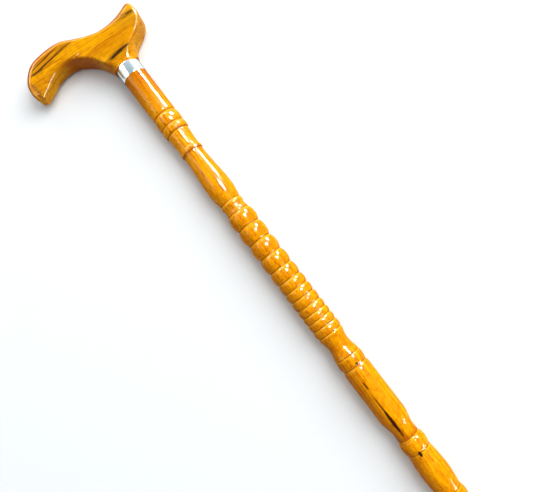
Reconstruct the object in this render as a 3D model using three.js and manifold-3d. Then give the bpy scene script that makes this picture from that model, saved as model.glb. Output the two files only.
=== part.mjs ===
// Walking stick lying on its side: a derby handle, a metal collar, a turned shaft and a rubber ferrule.
// Millimetres. The shaft's axis runs along X from the collar to the ferrule, the handle's nose points
// to +Y and its toe to -Y, and Z is up. The handle's cheek and the ferrule's rim lie on Z = 0.
import * as THREE from 'three';
import { mergeVertices } from 'three/addons/utils/BufferGeometryUtils.js';
import Module from 'manifold-3d';

const wasm = await Module();
wasm.setup();

// Clearance between pieces that fit in or over each other, filled by glue or by the rubber's grip
const fitGap = 0.3;

// Collar: a plain polished tube at the joint of handle and shaft
const collarRadius = 13;
const collarWall = 0.9;
const collarLength = 14;
const collarEdge = 0.35;

// Handle: heights are measured up from the collar, reaches sideways from the shaft's axis
const handleThickness = 28;
const toeThickness = 22;
const crestHeight = 61.5;
const saddleHeight = 41.2;
const archHeight = 35.6;
const toeDrop = 20.2;
const toeReach = 93.4;
const noseReach = 42.6;
const noseHeight = 48.6;
const noseHeel = 28;
const edgeRounding = 4;
const toeEnd = { edge: 8, corner: 3.6, face: 7 };
const noseEnd = { edge: 5, corner: 3.5, face: 5.5 };
const neckProud = 0.2;
const neckSpread = 0.35;
const neckFootRounding = 10;
const neckNoseRounding = 7;

// Stud: a steel rod glued into handle and shaft
const studRadius = 5;
const studInHandle = 28;
const studInShaft = 36;
const studChamfer = 1;

// Shaft: radii that the turned shapes share
const shaftLength = 850;
const topRadius = 12.7;
const blankRadius = 13.6;
const waistRadius = 10.75;
const ringRadius = 11.6;
const bigRingRadius = 12.9;
const collarBeadRadius = 13.25;
const grooveRadius = 12;
const vaseRadius = 13.1;
const lipRadius = 12.95;
const legRadius = 12.4;
const tipRadius = 8.5;
const tipChamfer = 1;
const turnedStep = 0.3;

// Shaft: lengths of the turned shapes in their order down the axis
const topLength = 47.3;
const topTuck = 3.2;
const upperBead = 13.2;
const lowerBead = 8.3;
const upperTaper = 18.4;
const narrowRing = { rise: 3.6, land: 2.6 };
const waistLand = 3.5;
const vase = { rise: 42, fall: 17 };
const smallRing = 5.5;
const flaredLip = { cove: 2.5, rise: 3.3, edge: 1.6 };
const graduatedBeads = [16.6, 17.8, 17, 15.9, 13.8, 10.8, 9.9, 9.8, 8.4, 7.4, 8.2, 8.4];
const beadGrooveShare = 0.16;
const cove = { lip: 2.1, fall: 11.5, rise: 11.9, edge: 1.2 };
const coveBead = 11.3;
const barrel = { shoulder: 5.1, land: 50.5, fall: 17.5 };
const ringWaist = 6.5;
const bigRing = { flare: 3.7, swell: 4.8, fall: 7 };
const spindle = { rise: 25, fall: 19.7 };
const legSwell = 36;

// Ferrule: a rubber cup pushed over the tip, with a steel washer on its floor
const ferruleRadius = 14;
const ferruleWall = 2.6;
const ferruleSocket = 32;
const ferruleFloor = 7.5;
const ferruleRim = 4;
const ferruleRimProud = 0.9;
const ferruleEdge = 0.6;
const ferruleSkirt = 14;
const footLand = 2.6;
const footEdge = 1.4;
const treadDepth = 1.5;
const treadWidth = 1.6;
const treadRings = 2;
const washerThickness = 1.2;
const washerHole = 3;

// Faces round each turned piece, sections along the handle, and points round a quarter of its edge
const turnedFaces = 26;
const gripSections = 44;
const neckSections = 12;
const edgeSteps = 5;

// How a turned shape leads from one radius to the next
const straight = (t) => t;
const ease = (t) => (1 - Math.cos(Math.PI * t)) / 2;
const leaveFlat = (t) => 1 - Math.cos((Math.PI * t) / 2);
const arriveFlat = (t) => Math.sin((Math.PI * t) / 2);

// A profile is a list of (radius, station) points, and a run leads on from its last point
function run(profile, length, endRadius, form = straight, steps = 1) {
  const start = profile[profile.length - 1].clone();
  for (let i = 1; i <= steps; i++) {
    const t = i / steps;
    const radius = start.x + (endRadius - start.x) * form(t);
    profile.push(new THREE.Vector2(radius, start.y + length * t));
  }
}

// A bead swells between two grooves: fuller than an arc, flatter than an ellipse
function bead(profile, length, beadRadius, endRadius, steps) {
  const start = profile[profile.length - 1].clone();
  for (let i = 1; i <= steps; i++) {
    const t = i / steps;
    const groove = start.x + (endRadius - start.x) * t;
    const swell = Math.pow(Math.max(0, 1 - (2 * t - 1) ** 2), 0.7);
    profile.push(new THREE.Vector2(groove + (beadRadius - groove) * swell, start.y + length * t));
  }
}

// Spins a profile about the shaft's axis: stations run along +X
function turned(profile, faces = turnedFaces) {
  const geometry = new THREE.LatheGeometry(profile, faces);
  geometry.rotateZ(-Math.PI / 2);
  return geometry;
}

const at = (radius, station) => new THREE.Vector2(radius, station);

// Solids for joining and cutting: only positions count, shared vertices are merged, slivers dropped
function solidOf(geometry) {
  const bare = geometry.clone();
  bare.deleteAttribute('normal');
  bare.deleteAttribute('uv');
  const merged = mergeVertices(bare, 1e-4);
  const corners = merged.index.array;
  const triangles = [];
  for (let i = 0; i < corners.length; i += 3) {
    const [a, b, c] = [corners[i], corners[i + 1], corners[i + 2]];
    if (a !== b && b !== c && c !== a) triangles.push(a, b, c);
  }
  return new wasm.Manifold(new wasm.Mesh({
    numProp: 3,
    vertProperties: merged.attributes.position.array,
    triVerts: new Uint32Array(triangles),
  }));
}

function geometryOf(solid) {
  const mesh = solid.getMesh();
  const geometry = new THREE.BufferGeometry();
  geometry.setAttribute('position', new THREE.BufferAttribute(mesh.vertProperties, 3));
  geometry.setIndex(new THREE.BufferAttribute(mesh.triVerts, 1));
  geometry.computeVertexNormals();
  return geometry;
}

// Lofts a closed skin over rings of the same number of points, with a flat cap at each end
function loft(rings) {
  const count = rings[0].length;
  const positions = [];
  const triangles = [];
  for (const ring of rings) {
    for (const point of ring) positions.push(point.x, point.y, point.z);
  }
  for (let k = 0; k < rings.length - 1; k++) {
    for (let i = 0; i < count; i++) {
      const a = k * count + i;
      const b = k * count + ((i + 1) % count);
      triangles.push(a, b, b + count, a, b + count, a + count);
    }
  }
  const last = (rings.length - 1) * count;
  for (let i = 1; i < count - 1; i++) {
    triangles.push(0, i + 1, i);
    triangles.push(last, last + i, last + i + 1);
  }
  const geometry = new THREE.BufferGeometry();
  geometry.setAttribute('position', new THREE.Float32BufferAttribute(positions, 3));
  geometry.setIndex(triangles);
  return geometry;
}

// A rounded rectangle across the handle: it spans from low to high in the handle's outline plane,
// given as (reach, height), and is as wide as the handle is thick there
function section(low, high, halfThickness, lowRounding, highRounding) {
  const across = new THREE.Vector2().subVectors(high, low).divideScalar(2);
  const centre = new THREE.Vector2().addVectors(high, low).divideScalar(2);
  const half = across.length();
  const way = across.clone().normalize();
  const ring = [];
  for (let quarter = 0; quarter < 4; quarter++) {
    const sideA = quarter === 0 || quarter === 3 ? 1 : -1;
    const sideZ = quarter < 2 ? 1 : -1;
    const rounding = sideA > 0 ? highRounding : lowRounding;
    const radius = Math.min(rounding, half * 0.98, halfThickness * 0.98);
    for (let i = 0; i <= edgeSteps; i++) {
      const angle = ((quarter + i / edgeSteps) * Math.PI) / 2;
      const a = sideA * (half - radius) + radius * Math.cos(angle);
      const z = sideZ * (halfThickness - radius) + radius * Math.sin(angle);
      ring.push(new THREE.Vector3(-(centre.y + way.y * a), centre.x + way.x * a, z));
    }
  }
  return ring;
}

// A smooth curve in the handle's outline plane; the third number of a point rides along with it
function outlineCurve(points) {
  return new THREE.CatmullRomCurve3(points.map((p) => new THREE.Vector3(...p)), false, 'centripetal');
}

// How far a rounded end has drawn in at a distance from the end
function endInset(rounding, distance) {
  const left = rounding - Math.min(rounding, distance);
  return rounding - Math.sqrt(rounding ** 2 - left ** 2);
}

// Grip: sections from the toe's end to the nose's end. The under side carries the edge's rounding and
// the top side carries half the thickness
function gripSolid() {
  const toe = toeThickness / 2;
  const full = handleThickness / 2;
  const underSide = outlineCurve([
    [-toeReach + 4.2, toeDrop + 2, toeEnd.edge],
    [-toeReach + 7.4, toeDrop + 0.2, toeEnd.edge],
    [-toeReach + 12, toeDrop + 3.4, toeEnd.edge],
    [-toeReach + 18.4, toeDrop + 7.6, toeEnd.edge],
    [-toeReach + 26.6, archHeight - 3.2, toeEnd.edge - 1],
    [-50, archHeight, edgeRounding + 1.5],
    [-36, archHeight - 2.4, edgeRounding + 0.5],
    [-24, archHeight - 5, edgeRounding],
    [0, archHeight - 7, edgeRounding],
    [noseReach - 20.6, noseHeel - 3.5, edgeRounding],
    [noseReach - 8.6, noseHeel - 5.4, noseEnd.edge],
    [noseReach - 2.8, noseHeel - 2.2, noseEnd.edge],
    [noseReach - 0.5, noseHeel + 4, noseEnd.edge],
  ]);
  const topSide = outlineCurve([
    [-toeReach + 0.6, toeDrop + 8.2, toe - 2],
    [-toeReach, toeDrop + 13.6, toe - 1],
    [-toeReach + 0.8, crestHeight - 21.8, toe - 0.4],
    [-toeReach + 4, crestHeight - 14.6, toe],
    [-toeReach + 16.2, crestHeight - 3, toe + 0.6],
    [-58, crestHeight, toe + 1.6],
    [-40, crestHeight - 3, full - 0.4],
    [-24, saddleHeight + 8.8, full],
    [-4, saddleHeight + 0.8, full],
    [14, saddleHeight + 0.6, full],
    [noseReach - 16, noseHeight - 3.4, full],
    [noseReach - 9, noseHeight - 0.9, full],
    [noseReach - 3.2, noseHeight, full],
  ]);
  const steps = Array.from({ length: gripSections + 1 }, (_, k) => ease(k / gripSections));
  const underPoints = steps.map((t) => underSide.getPoint(t));
  const fromToe = [0];
  for (let k = 1; k <= gripSections; k++) {
    fromToe.push(fromToe[k - 1] + underPoints[k].distanceTo(underPoints[k - 1]));
  }
  const rings = underPoints.map((under, k) => {
    const top = topSide.getPoint(steps[k]);
    const fromNose = fromToe[gripSections] - fromToe[k];
    const corner = endInset(toeEnd.corner, fromToe[k]) + endInset(noseEnd.corner, fromNose);
    const face = endInset(toeEnd.face, fromToe[k]) + endInset(noseEnd.face, fromNose);
    const low = new THREE.Vector2(under.x, under.y);
    const high = new THREE.Vector2(top.x, top.y);
    const way = new THREE.Vector2().subVectors(high, low).normalize();
    low.addScaledVector(way, corner);
    high.addScaledVector(way, -corner);
    return section(low, high, Math.min(top.z, full) - face, under.z, under.z);
  });
  return solidOf(loft(rings));
}

// Neck: round at the collar, it flares on both sides and flattens into the grip
function neckSolid() {
  const neckRadius = collarRadius + neckProud;
  const full = handleThickness / 2;
  const toeSide = outlineCurve([
    [-neckRadius - 0.6, 0, 0],
    [-neckRadius - 3, 7.8, 0],
    [-neckRadius - 6.8, 16.2, 0],
    [-neckRadius - 12.6, 23.8, 0],
    [-neckRadius - 23, archHeight - 3.5, 0],
    [-neckRadius - 31, archHeight + 1, 0],
  ]);
  const noseSide = outlineCurve([
    [neckRadius + 0.4, 0, 0],
    [neckRadius + 2, 3.4, 0],
    [neckRadius + 4.2, 9.8, 0],
    [neckRadius + 7.4, 15.2, 0],
    [noseReach - 13, noseHeel - 7.6, 0],
    [noseReach - 8.6, noseHeel - 1.5, 0],
  ]);
  const rings = [];
  for (let k = 0; k <= neckSections; k++) {
    const t = k / neckSections;
    const low = toeSide.getPoint(t);
    const high = noseSide.getPoint(t);
    const flat = ease(Math.min(1, t / neckSpread));
    const halfThickness = THREE.MathUtils.lerp(neckRadius, full, flat);
    const noseRounding = THREE.MathUtils.lerp(neckFootRounding, neckNoseRounding, flat);
    const toeRounding = THREE.MathUtils.lerp(neckFootRounding, edgeRounding, flat);
    rings.push(section(high, low, halfThickness, noseRounding, toeRounding));
  }
  return solidOf(loft(rings));
}

function handleGeometry() {
  const bore = turned([
    at(0, -studInHandle - fitGap),
    at(studRadius + fitGap, -studInHandle - fitGap),
    at(studRadius + fitGap, 1),
    at(0, 1),
  ]);
  return geometryOf(gripSolid().add(neckSolid()).subtract(solidOf(bore)));
}

function collarGeometry() {
  const inner = collarRadius - collarWall;
  return turned([
    at(inner, 0),
    at(collarRadius - collarEdge, 0),
    at(collarRadius, collarEdge),
    at(collarRadius, collarLength - collarEdge),
    at(collarRadius - collarEdge, collarLength),
    at(inner, collarLength),
    at(inner, 0),
  ]);
}

function studGeometry() {
  return turned([
    at(0, -studInHandle),
    at(studRadius - studChamfer, -studInHandle),
    at(studRadius, -studInHandle + studChamfer),
    at(studRadius, studInShaft - studChamfer),
    at(studRadius - studChamfer, studInShaft),
    at(0, studInShaft),
  ]);
}

// Shaft: one turned piece, from its bore and spigot down to the tip
function shaftProfile() {
  const boreRadius = studRadius + fitGap;
  const spigotRadius = collarRadius - collarWall - fitGap;
  const profile = [
    at(0, studInShaft + fitGap),
    at(boreRadius, studInShaft + fitGap),
    at(boreRadius, 0),
    at(spigotRadius, 0),
    at(spigotRadius, collarLength),
    at(topRadius - turnedStep, collarLength),
    at(topRadius, collarLength + turnedStep),
  ];

  // Plain top with two beads under it
  run(profile, topLength, topRadius);
  run(profile, topTuck, grooveRadius - turnedStep, leaveFlat, 3);
  bead(profile, upperBead, collarBeadRadius, grooveRadius, 6);
  bead(profile, lowerBead, collarBeadRadius, topRadius - turnedStep, 5);
  run(profile, turnedStep, ringRadius);

  // Short taper to a narrow ring
  run(profile, upperTaper, waistRadius, ease, 4);
  run(profile, narrowRing.rise, ringRadius, leaveFlat, 3);
  run(profile, narrowRing.land, ringRadius);
  run(profile, turnedStep, waistRadius);

  // Long vase, a small ring and a flared lip
  run(profile, waistLand, waistRadius);
  run(profile, vase.rise, vaseRadius, ease, 8);
  run(profile, vase.fall, waistRadius, leaveFlat, 6);
  bead(profile, smallRing, ringRadius, waistRadius, 4);
  run(profile, flaredLip.cove, waistRadius);
  run(profile, flaredLip.rise, ringRadius, leaveFlat, 3);
  run(profile, flaredLip.edge, ringRadius - turnedStep);

  // Graduated beads: the shorter a bead, the shallower the groove below it
  for (let i = 0; i < graduatedBeads.length; i++) {
    const next = graduatedBeads[Math.min(i + 1, graduatedBeads.length - 1)];
    const grooveDepth = (beadGrooveShare * (graduatedBeads[i] + next)) / 2;
    const steps = graduatedBeads[i] > blankRadius ? 6 : 4;
    bead(profile, graduatedBeads[i], blankRadius, blankRadius - grooveDepth, steps);
  }

  // Deep cove between two lips, a bead, then the barrel
  run(profile, cove.lip, lipRadius, arriveFlat, 2);
  run(profile, cove.fall, waistRadius, arriveFlat, 5);
  run(profile, cove.rise, lipRadius, leaveFlat, 5);
  run(profile, cove.edge, lipRadius - turnedStep);
  bead(profile, coveBead, blankRadius, grooveRadius, 5);
  run(profile, barrel.shoulder, blankRadius, arriveFlat, 4);
  run(profile, barrel.land, blankRadius);
  run(profile, barrel.fall, waistRadius, ease, 6);

  // Two like rings with a spindle between them
  run(profile, ringWaist, waistRadius);
  run(profile, bigRing.flare, legRadius, leaveFlat, 3);
  run(profile, bigRing.swell, bigRingRadius, ease, 2);
  run(profile, bigRing.fall, ringRadius, leaveFlat, 4);
  run(profile, spindle.rise, blankRadius, arriveFlat, 6);
  run(profile, spindle.fall, ringRadius, leaveFlat, 6);
  run(profile, bigRing.fall, bigRingRadius, arriveFlat, 4);
  run(profile, bigRing.swell, legRadius, ease, 2);
  run(profile, bigRing.flare, waistRadius, arriveFlat, 3);

  // Leg: a soft swell, from which one long taper leads to the tip
  run(profile, ringWaist, waistRadius);
  run(profile, legSwell, legRadius, ease, 5);
  return profile;
}

const upperProfile = shaftProfile();
const legStation = upperProfile[upperProfile.length - 1].y;
const legSlope = (legRadius - tipRadius) / (shaftLength - legStation);

function shaftGeometry() {
  return turned([
    ...upperProfile,
    at(tipRadius + legSlope * tipChamfer, shaftLength - tipChamfer),
    at(tipRadius - tipChamfer, shaftLength),
    at(0, shaftLength),
  ]);
}

// The ferrule's floor starts under the washer, which the wooden tip bears on
const washerStation = shaftLength + fitGap;
const floorStation = washerStation + washerThickness + fitGap;
const footStation = floorStation + ferruleFloor;

function washerGeometry() {
  const washerRadius = tipRadius - tipChamfer;
  return turned([
    at(washerHole, washerStation),
    at(washerRadius, washerStation),
    at(washerRadius, washerStation + washerThickness),
    at(washerHole, washerStation + washerThickness),
    at(washerHole, washerStation),
  ]);
}

function ferruleGeometry() {
  const mouth = shaftLength - ferruleSocket;
  const socketRadius = tipRadius + fitGap;
  const mouthRadius = socketRadius + legSlope * ferruleSocket;
  const bodyRadius = mouthRadius + ferruleWall;
  const rimRadius = bodyRadius + ferruleRimProud;
  const profile = [
    at(0, floorStation),
    at(socketRadius, floorStation),
    at(socketRadius, shaftLength),
    at(mouthRadius, mouth + ferruleEdge),
    at(mouthRadius + ferruleEdge, mouth),
    at(rimRadius - ferruleEdge, mouth),
    at(rimRadius, mouth + ferruleEdge),
    at(rimRadius, mouth + ferruleRim - ferruleEdge),
    at(rimRadius - ferruleEdge, mouth + ferruleRim),
    at(bodyRadius, mouth + ferruleRim + ferruleEdge),
    at(bodyRadius, footStation - ferruleSkirt),
  ];
  run(profile, ferruleSkirt - footLand - footEdge, ferruleRadius, ease, 4);
  run(profile, footLand, ferruleRadius);
  run(profile, footEdge, ferruleRadius - footEdge, leaveFlat, 3);

  // Tread: ring grooves in the foot around a flat middle
  const landWidth = (ferruleRadius - footEdge) / (treadRings + 1) - treadWidth;
  for (let ring = 0; ring < treadRings; ring++) {
    const outer = profile[profile.length - 1].x - landWidth;
    profile.push(at(outer, footStation));
    profile.push(at(outer, footStation - treadDepth));
    profile.push(at(outer - treadWidth, footStation - treadDepth));
    profile.push(at(outer - treadWidth, footStation));
  }
  profile.push(at(0, footStation));
  return turned(profile);
}

// Materials
const handleWood = new THREE.MeshStandardMaterial({ color: 0xf29a10, roughness: 0.25, metalness: 0 });
const shaftWood = new THREE.MeshStandardMaterial({ color: 0xf59e0b, roughness: 0.22, metalness: 0 });
const polishedSteel = new THREE.MeshStandardMaterial({ color: 0xdfe6ea, roughness: 0.15, metalness: 1 });
const plainSteel = new THREE.MeshStandardMaterial({ color: 0x9a9da0, roughness: 0.45, metalness: 1 });
const zincSteel = new THREE.MeshStandardMaterial({ color: 0xb4b8ba, roughness: 0.4, metalness: 1 });
const blackRubber = new THREE.MeshStandardMaterial({ color: 0x1d1d1e, roughness: 0.8, metalness: 0 });

function piece(name, geometry, material) {
  const mesh = new THREE.Mesh(geometry, material);
  mesh.name = name;
  return mesh;
}

const stick = new THREE.Group();
stick.add(piece('handle', handleGeometry(), handleWood));
stick.add(piece('collar', collarGeometry(), polishedSteel));
stick.add(piece('shaft', shaftGeometry(), shaftWood));
stick.add(piece('handle_stud', studGeometry(), plainSteel));
stick.add(piece('ferrule', ferruleGeometry(), blackRubber));
stick.add(piece('ferrule_washer', washerGeometry(), zincSteel));

// The origin is under the middle of the stick, on the surface that it lies on
const bounds = new THREE.Box3().setFromObject(stick);
const middle = bounds.getCenter(new THREE.Vector3());
stick.position.set(-middle.x, -middle.y, -bounds.min.z);

const group = new THREE.Group();
group.add(stick);

export default group;
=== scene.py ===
import math

import bmesh
import bpy
from mathutils import Matrix, Vector


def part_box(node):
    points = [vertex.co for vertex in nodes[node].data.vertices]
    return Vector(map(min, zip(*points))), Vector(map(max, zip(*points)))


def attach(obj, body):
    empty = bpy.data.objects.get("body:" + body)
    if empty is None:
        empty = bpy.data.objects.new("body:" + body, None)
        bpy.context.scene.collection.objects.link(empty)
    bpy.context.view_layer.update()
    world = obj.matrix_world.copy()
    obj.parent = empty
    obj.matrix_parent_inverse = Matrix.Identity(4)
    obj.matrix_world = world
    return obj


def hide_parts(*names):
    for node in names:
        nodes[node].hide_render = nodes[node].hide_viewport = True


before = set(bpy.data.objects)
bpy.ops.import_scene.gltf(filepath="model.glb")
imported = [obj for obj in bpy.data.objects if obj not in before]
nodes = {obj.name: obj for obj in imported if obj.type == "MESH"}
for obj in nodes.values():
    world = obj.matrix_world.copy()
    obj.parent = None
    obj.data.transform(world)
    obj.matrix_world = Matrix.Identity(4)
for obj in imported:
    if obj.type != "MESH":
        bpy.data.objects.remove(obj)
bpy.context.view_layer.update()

# Lengths below are in millimetres in the stick's own terms: stations run down the shaft from the
# collar's upper edge, the handle goes up from there, and the nose points to +Y
millimetre = 0.001
collarLow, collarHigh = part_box("collar")
collarTop = collarLow.x
axisY = (collarLow.y + collarHigh.y) / 2
axisZ = (collarLow.z + collarHigh.z) / 2
print("frame loaded, collar top at", round(collarTop, 5), "axis at", round(axisY, 5), round(axisZ, 5))


def onStick(station, out, up=0.0):
    return Vector((collarTop + station * millimetre, axisY + out * millimetre, axisZ + up * millimetre))


def newPiece(name, mesh, body, node, material):
    piece = bpy.data.objects.new(name, mesh)
    bpy.context.scene.collection.objects.link(piece)
    mesh.materials.clear()
    mesh.materials.append(material)
    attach(piece, body)
    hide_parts(node)
    return piece


def smoothShading(bm, sharpAngle):
    for face in bm.faces:
        face.smooth = True
    for edge in bm.edges:
        if len(edge.link_faces) == 2 and edge.calc_face_angle(0) > math.radians(sharpAngle):
            edge.smooth = False


# Materials

def linearColour(hexText):
    channels = [int(hexText[i:i + 2], 16) / 255 for i in (0, 2, 4)]
    linear = [c / 12.92 if c <= 0.04045 else ((c + 0.055) / 1.055) ** 2.4 for c in channels]
    return (*linear, 1.0)


def newMaterial(name):
    material = bpy.data.materials.new(name)
    material.use_nodes = True
    return material, material.node_tree, material.node_tree.nodes["Principled BSDF"]


def addNode(tree, kind, settings=None, inputs=None):
    node = tree.nodes.new(kind)
    for key, value in (settings or {}).items():
        setattr(node, key, value)
    setInputs(tree, node, inputs or {})
    return node


def setInputs(tree, node, inputs):
    for key, value in inputs.items():
        if isinstance(value, bpy.types.NodeSocket):
            tree.links.new(value, node.inputs[key])
        else:
            node.inputs[key].default_value = value


def addRamp(tree, factor, stops):
    ramp = addNode(tree, "ShaderNodeValToRGB", inputs={"Fac": factor})
    elements = ramp.color_ramp.elements
    while len(elements) < len(stops):
        elements.new(0.5)
    for element, (position, colour) in zip(elements, stops):
        element.position = position
        element.color = linearColour(colour)
    return ramp.outputs["Color"]


def mixColours(tree, factor, first, second, blend="MIX"):
    mix = addNode(tree, "ShaderNodeMix", {"data_type": "RGBA", "blend_type": blend})
    for key, value in {0: factor, 6: first, 7: second}.items():
        setInputs(tree, mix, {key: value})
    return mix.outputs[2]


# Noise drawn out along the grain: fibres so long and so wide, in millimetres
def grainNoise(tree, coordinates, length, width, detail, roughness):
    stretched = addNode(tree, "ShaderNodeMapping", inputs={
        "Vector": coordinates,
        "Scale": (1000 / length, 1000 / width, 1000 / width),
    })
    noise = addNode(tree, "ShaderNodeTexNoise", inputs={
        "Vector": stretched.outputs["Vector"],
        "Scale": 1.0,
        "Detail": detail,
        "Roughness": roughness,
    })
    return noise.outputs["Fac"]


# A mark is full in the middle, narrows from "narrowFrom" of its half length to 1 / "pointed" of its width
# at the ends, and fades there from "endFade". Fibres between "fibreLow" and "fibreHigh" tear its edges
markForm = {"narrowFrom": 0.45, "pointed": 2.4, "endFade": 0.7, "fibreLow": 0.35, "fibreHigh": 0.6}


# How far a mark reaches: its strength in the middle, nothing past its pointed ends or its sides
def markMask(tree, coordinates, mark):
    placed = addNode(tree, "ShaderNodeMapping", {"vector_type": "TEXTURE"}, {
        "Vector": coordinates,
        "Location": onStick(*mark["centre"]),
        "Rotation": (0, 0, math.radians(mark["turn"])),
        "Scale": [value / 2 * millimetre for value in mark["size"]],
    }).outputs["Vector"]
    distances = []
    for axes in ((1, 0, 0), (0, 1, 1)):
        part = addNode(tree, "ShaderNodeVectorMath", {"operation": "MULTIPLY"}, {0: placed, 1: axes})
        length = addNode(tree, "ShaderNodeVectorMath", {"operation": "LENGTH"}, {0: part.outputs["Vector"]})
        distances.append(length.outputs["Value"])
    narrowing = addNode(tree, "ShaderNodeMapRange", inputs={
        "Value": distances[0],
        "From Min": markForm["narrowFrom"],
        "From Max": 1.0,
        "To Min": 1.0,
        "To Max": markForm["pointed"],
    }).outputs["Result"]
    across = addNode(tree, "ShaderNodeMath", {"operation": "MULTIPLY"}, {0: distances[1], 1: narrowing})
    reach = 1.0
    for distance, start, strength in ((distances[0], markForm["endFade"], 1.0),
                                      (across.outputs["Value"], mark["core"], mark["strength"])):
        fade = addNode(tree, "ShaderNodeMapRange", {"interpolation_type": "SMOOTHSTEP"}, {
            "Value": distance,
            "From Min": start,
            "From Max": 1.0,
            "To Min": strength,
            "To Max": 0.0,
        })
        reach = addNode(tree, "ShaderNodeMath", {"operation": "MULTIPLY"}, {
            0: reach,
            1: fade.outputs["Result"],
        }).outputs["Value"]
    return reach


# Stained wood under a clear gloss lacquer. The eye gets warm honey with fine fibres along the grain,
# darker mineral streaks and a hard white highlight from the lacquer's own smooth skin
def lacqueredWood(name, look, marks):
    material, tree, shader = newMaterial(name)
    coordinates = addNode(tree, "ShaderNodeTexCoord").outputs["Object"]
    along = addNode(tree, "ShaderNodeMapping", inputs={
        "Vector": coordinates,
        "Rotation": (0, 0, math.radians(look["grainTurn"])),
    }).outputs["Vector"]
    bands = grainNoise(tree, along, look["bandLength"], look["bandWidth"], 3.0, 0.55)
    fibres = grainNoise(tree, along, look["fibreLength"], look["fibreWidth"], 4.0, 0.6)
    pores = grainNoise(tree, along, look["poreLength"], look["poreWidth"], 1.0, 0.5)
    bandColour = addRamp(tree, bands, look["bandStops"])
    fibreColour = addRamp(tree, fibres, look["fibreStops"])
    poreColour = addRamp(tree, pores, look["poreStops"])
    colour = mixColours(tree, look["fibreShare"], bandColour, fibreColour, "MULTIPLY")
    colour = mixColours(tree, look["poreShare"], colour, poreColour, "MULTIPLY")
    blotch = addNode(tree, "ShaderNodeTexNoise", inputs={
        "Vector": coordinates,
        "Scale": 1000 / look["blotchSize"],
        "Detail": 3.0,
    }).outputs["Fac"]
    blotchColour = addRamp(tree, blotch, look["blotchStops"])
    colour = mixColours(tree, look["blotchShare"], colour, blotchColour, "MULTIPLY")

    # The two numbers of the UV layer paint light into the colour: the first is a painted highlight that
    # makes the lip just past a groove paler, the second darkens the wood, partly stain held beside the
    # grooves and partly painted shade on faces turned from the key light
    stain = addNode(tree, "ShaderNodeSeparateXYZ", inputs={
        "Vector": addNode(tree, "ShaderNodeUVMap", {"uv_map": "stain"}).outputs["UV"],
    })
    for share, shade, amount in (("lipHighlightShare", "lipHighlightColour", "X"), ("stainAndShadeShare", "stainAndShadeColour", "Y")):
        factor = addNode(tree, "ShaderNodeMath", {"operation": "MULTIPLY"}, {
            0: stain.outputs[amount],
            1: look[share],
        })
        colour = mixColours(tree, factor.outputs["Value"], colour, linearColour(look[shade]))

    wobbleNoise = grainNoise(tree, along, look["wobbleLength"], look["wobbleWidth"], 2.0, 0.6)
    wobble = addNode(tree, "ShaderNodeMath", {"operation": "MULTIPLY_ADD"}, {
        0: wobbleNoise,
        1: look["wobble"] * millimetre,
        2: -look["wobble"] * millimetre / 2,
    }).outputs["Value"]
    shift = addNode(tree, "ShaderNodeCombineXYZ", inputs={"X": wobble, "Y": wobble})
    wavy = addNode(tree, "ShaderNodeVectorMath", {"operation": "ADD"}, {
        0: coordinates,
        1: shift.outputs["Vector"],
    }).outputs["Vector"]
    for mark in marks:
        mask = markMask(tree, wavy, mark)
        torn = addNode(tree, "ShaderNodeMapRange", inputs={
            "Value": fibres,
            "From Min": markForm["fibreLow"],
            "From Max": markForm["fibreHigh"],
            "To Min": 1.0,
            "To Max": mark["lines"],
        }).outputs["Result"]
        factor = addNode(tree, "ShaderNodeMath", {"operation": "MULTIPLY", "use_clamp": True}, {
            0: mask,
            1: torn,
        })
        colour = mixColours(tree, factor.outputs["Value"], colour, linearColour(mark["colour"]))

    ripple = addNode(tree, "ShaderNodeTexNoise", inputs={
        "Vector": coordinates,
        "Scale": 1000 / look["rippleSize"],
        "Detail": 1.0,
    }).outputs["Fac"]
    skin = addNode(tree, "ShaderNodeBump", inputs={
        "Strength": look["rippleStrength"],
        "Distance": look["rippleDepth"] * millimetre,
        "Height": ripple,
    }).outputs["Normal"]
    setInputs(tree, shader, {
        "Base Color": colour,
        "Roughness": 0.5,
        "Specular IOR Level": 0.0,
        "Coat Weight": look["coat"],
        "Coat Roughness": look["coatRoughness"],
        "Coat IOR": look["coatIor"],
        "Coat Normal": skin,
    })
    return material


# Brass tube with polished chrome on it: a cool mirror with faint lines from the buffing wheel, with painted
# shade on its lower half: a dark brown base colour there stands in for the reflection of the shadowed
# table. "lines" is the noise's scale along and across the tube
chromeLook = {
    "lines": (4000, 60, 60), "lineDetail": 2.0, "smoothest": 0.02, "roughest": 0.07, "radius": 13,
    # Painted shade: dark brown low on the tube, bright chrome above
    "paintedShadeStops": [(0.6, "4A4038"), (0.72, "E9F3F8")],
}


def polishedChrome(name, look):
    material, tree, shader = newMaterial(name)
    coordinates = addNode(tree, "ShaderNodeTexCoord").outputs["Object"]
    lines = addNode(tree, "ShaderNodeMapping", inputs={"Vector": coordinates, "Scale": look["lines"]})
    noise = addNode(tree, "ShaderNodeTexNoise", inputs={
        "Vector": lines.outputs["Vector"],
        "Scale": 1.0,
        "Detail": look["lineDetail"],
    }).outputs["Fac"]
    roughness = addNode(tree, "ShaderNodeMapRange", inputs={
        "Value": noise,
        "To Min": look["smoothest"],
        "To Max": look["roughest"],
    }).outputs["Result"]
    # Painted shade: the base colour is dark brown from a little above the axis downwards, standing in for
    # the reflection of the shadowed table
    height = addNode(tree, "ShaderNodeSeparateXYZ", inputs={"Vector": coordinates}).outputs["Z"]
    raised = addNode(tree, "ShaderNodeMapRange", inputs={
        "Value": height,
        "From Min": axisZ - look["radius"] * millimetre,
        "From Max": axisZ + look["radius"] * millimetre,
    }).outputs["Result"]
    setInputs(tree, shader, {
        "Base Color": addRamp(tree, raised, look["paintedShadeStops"]),
        "Metallic": 1.0,
        "Roughness": roughness,
    })
    return material


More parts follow.
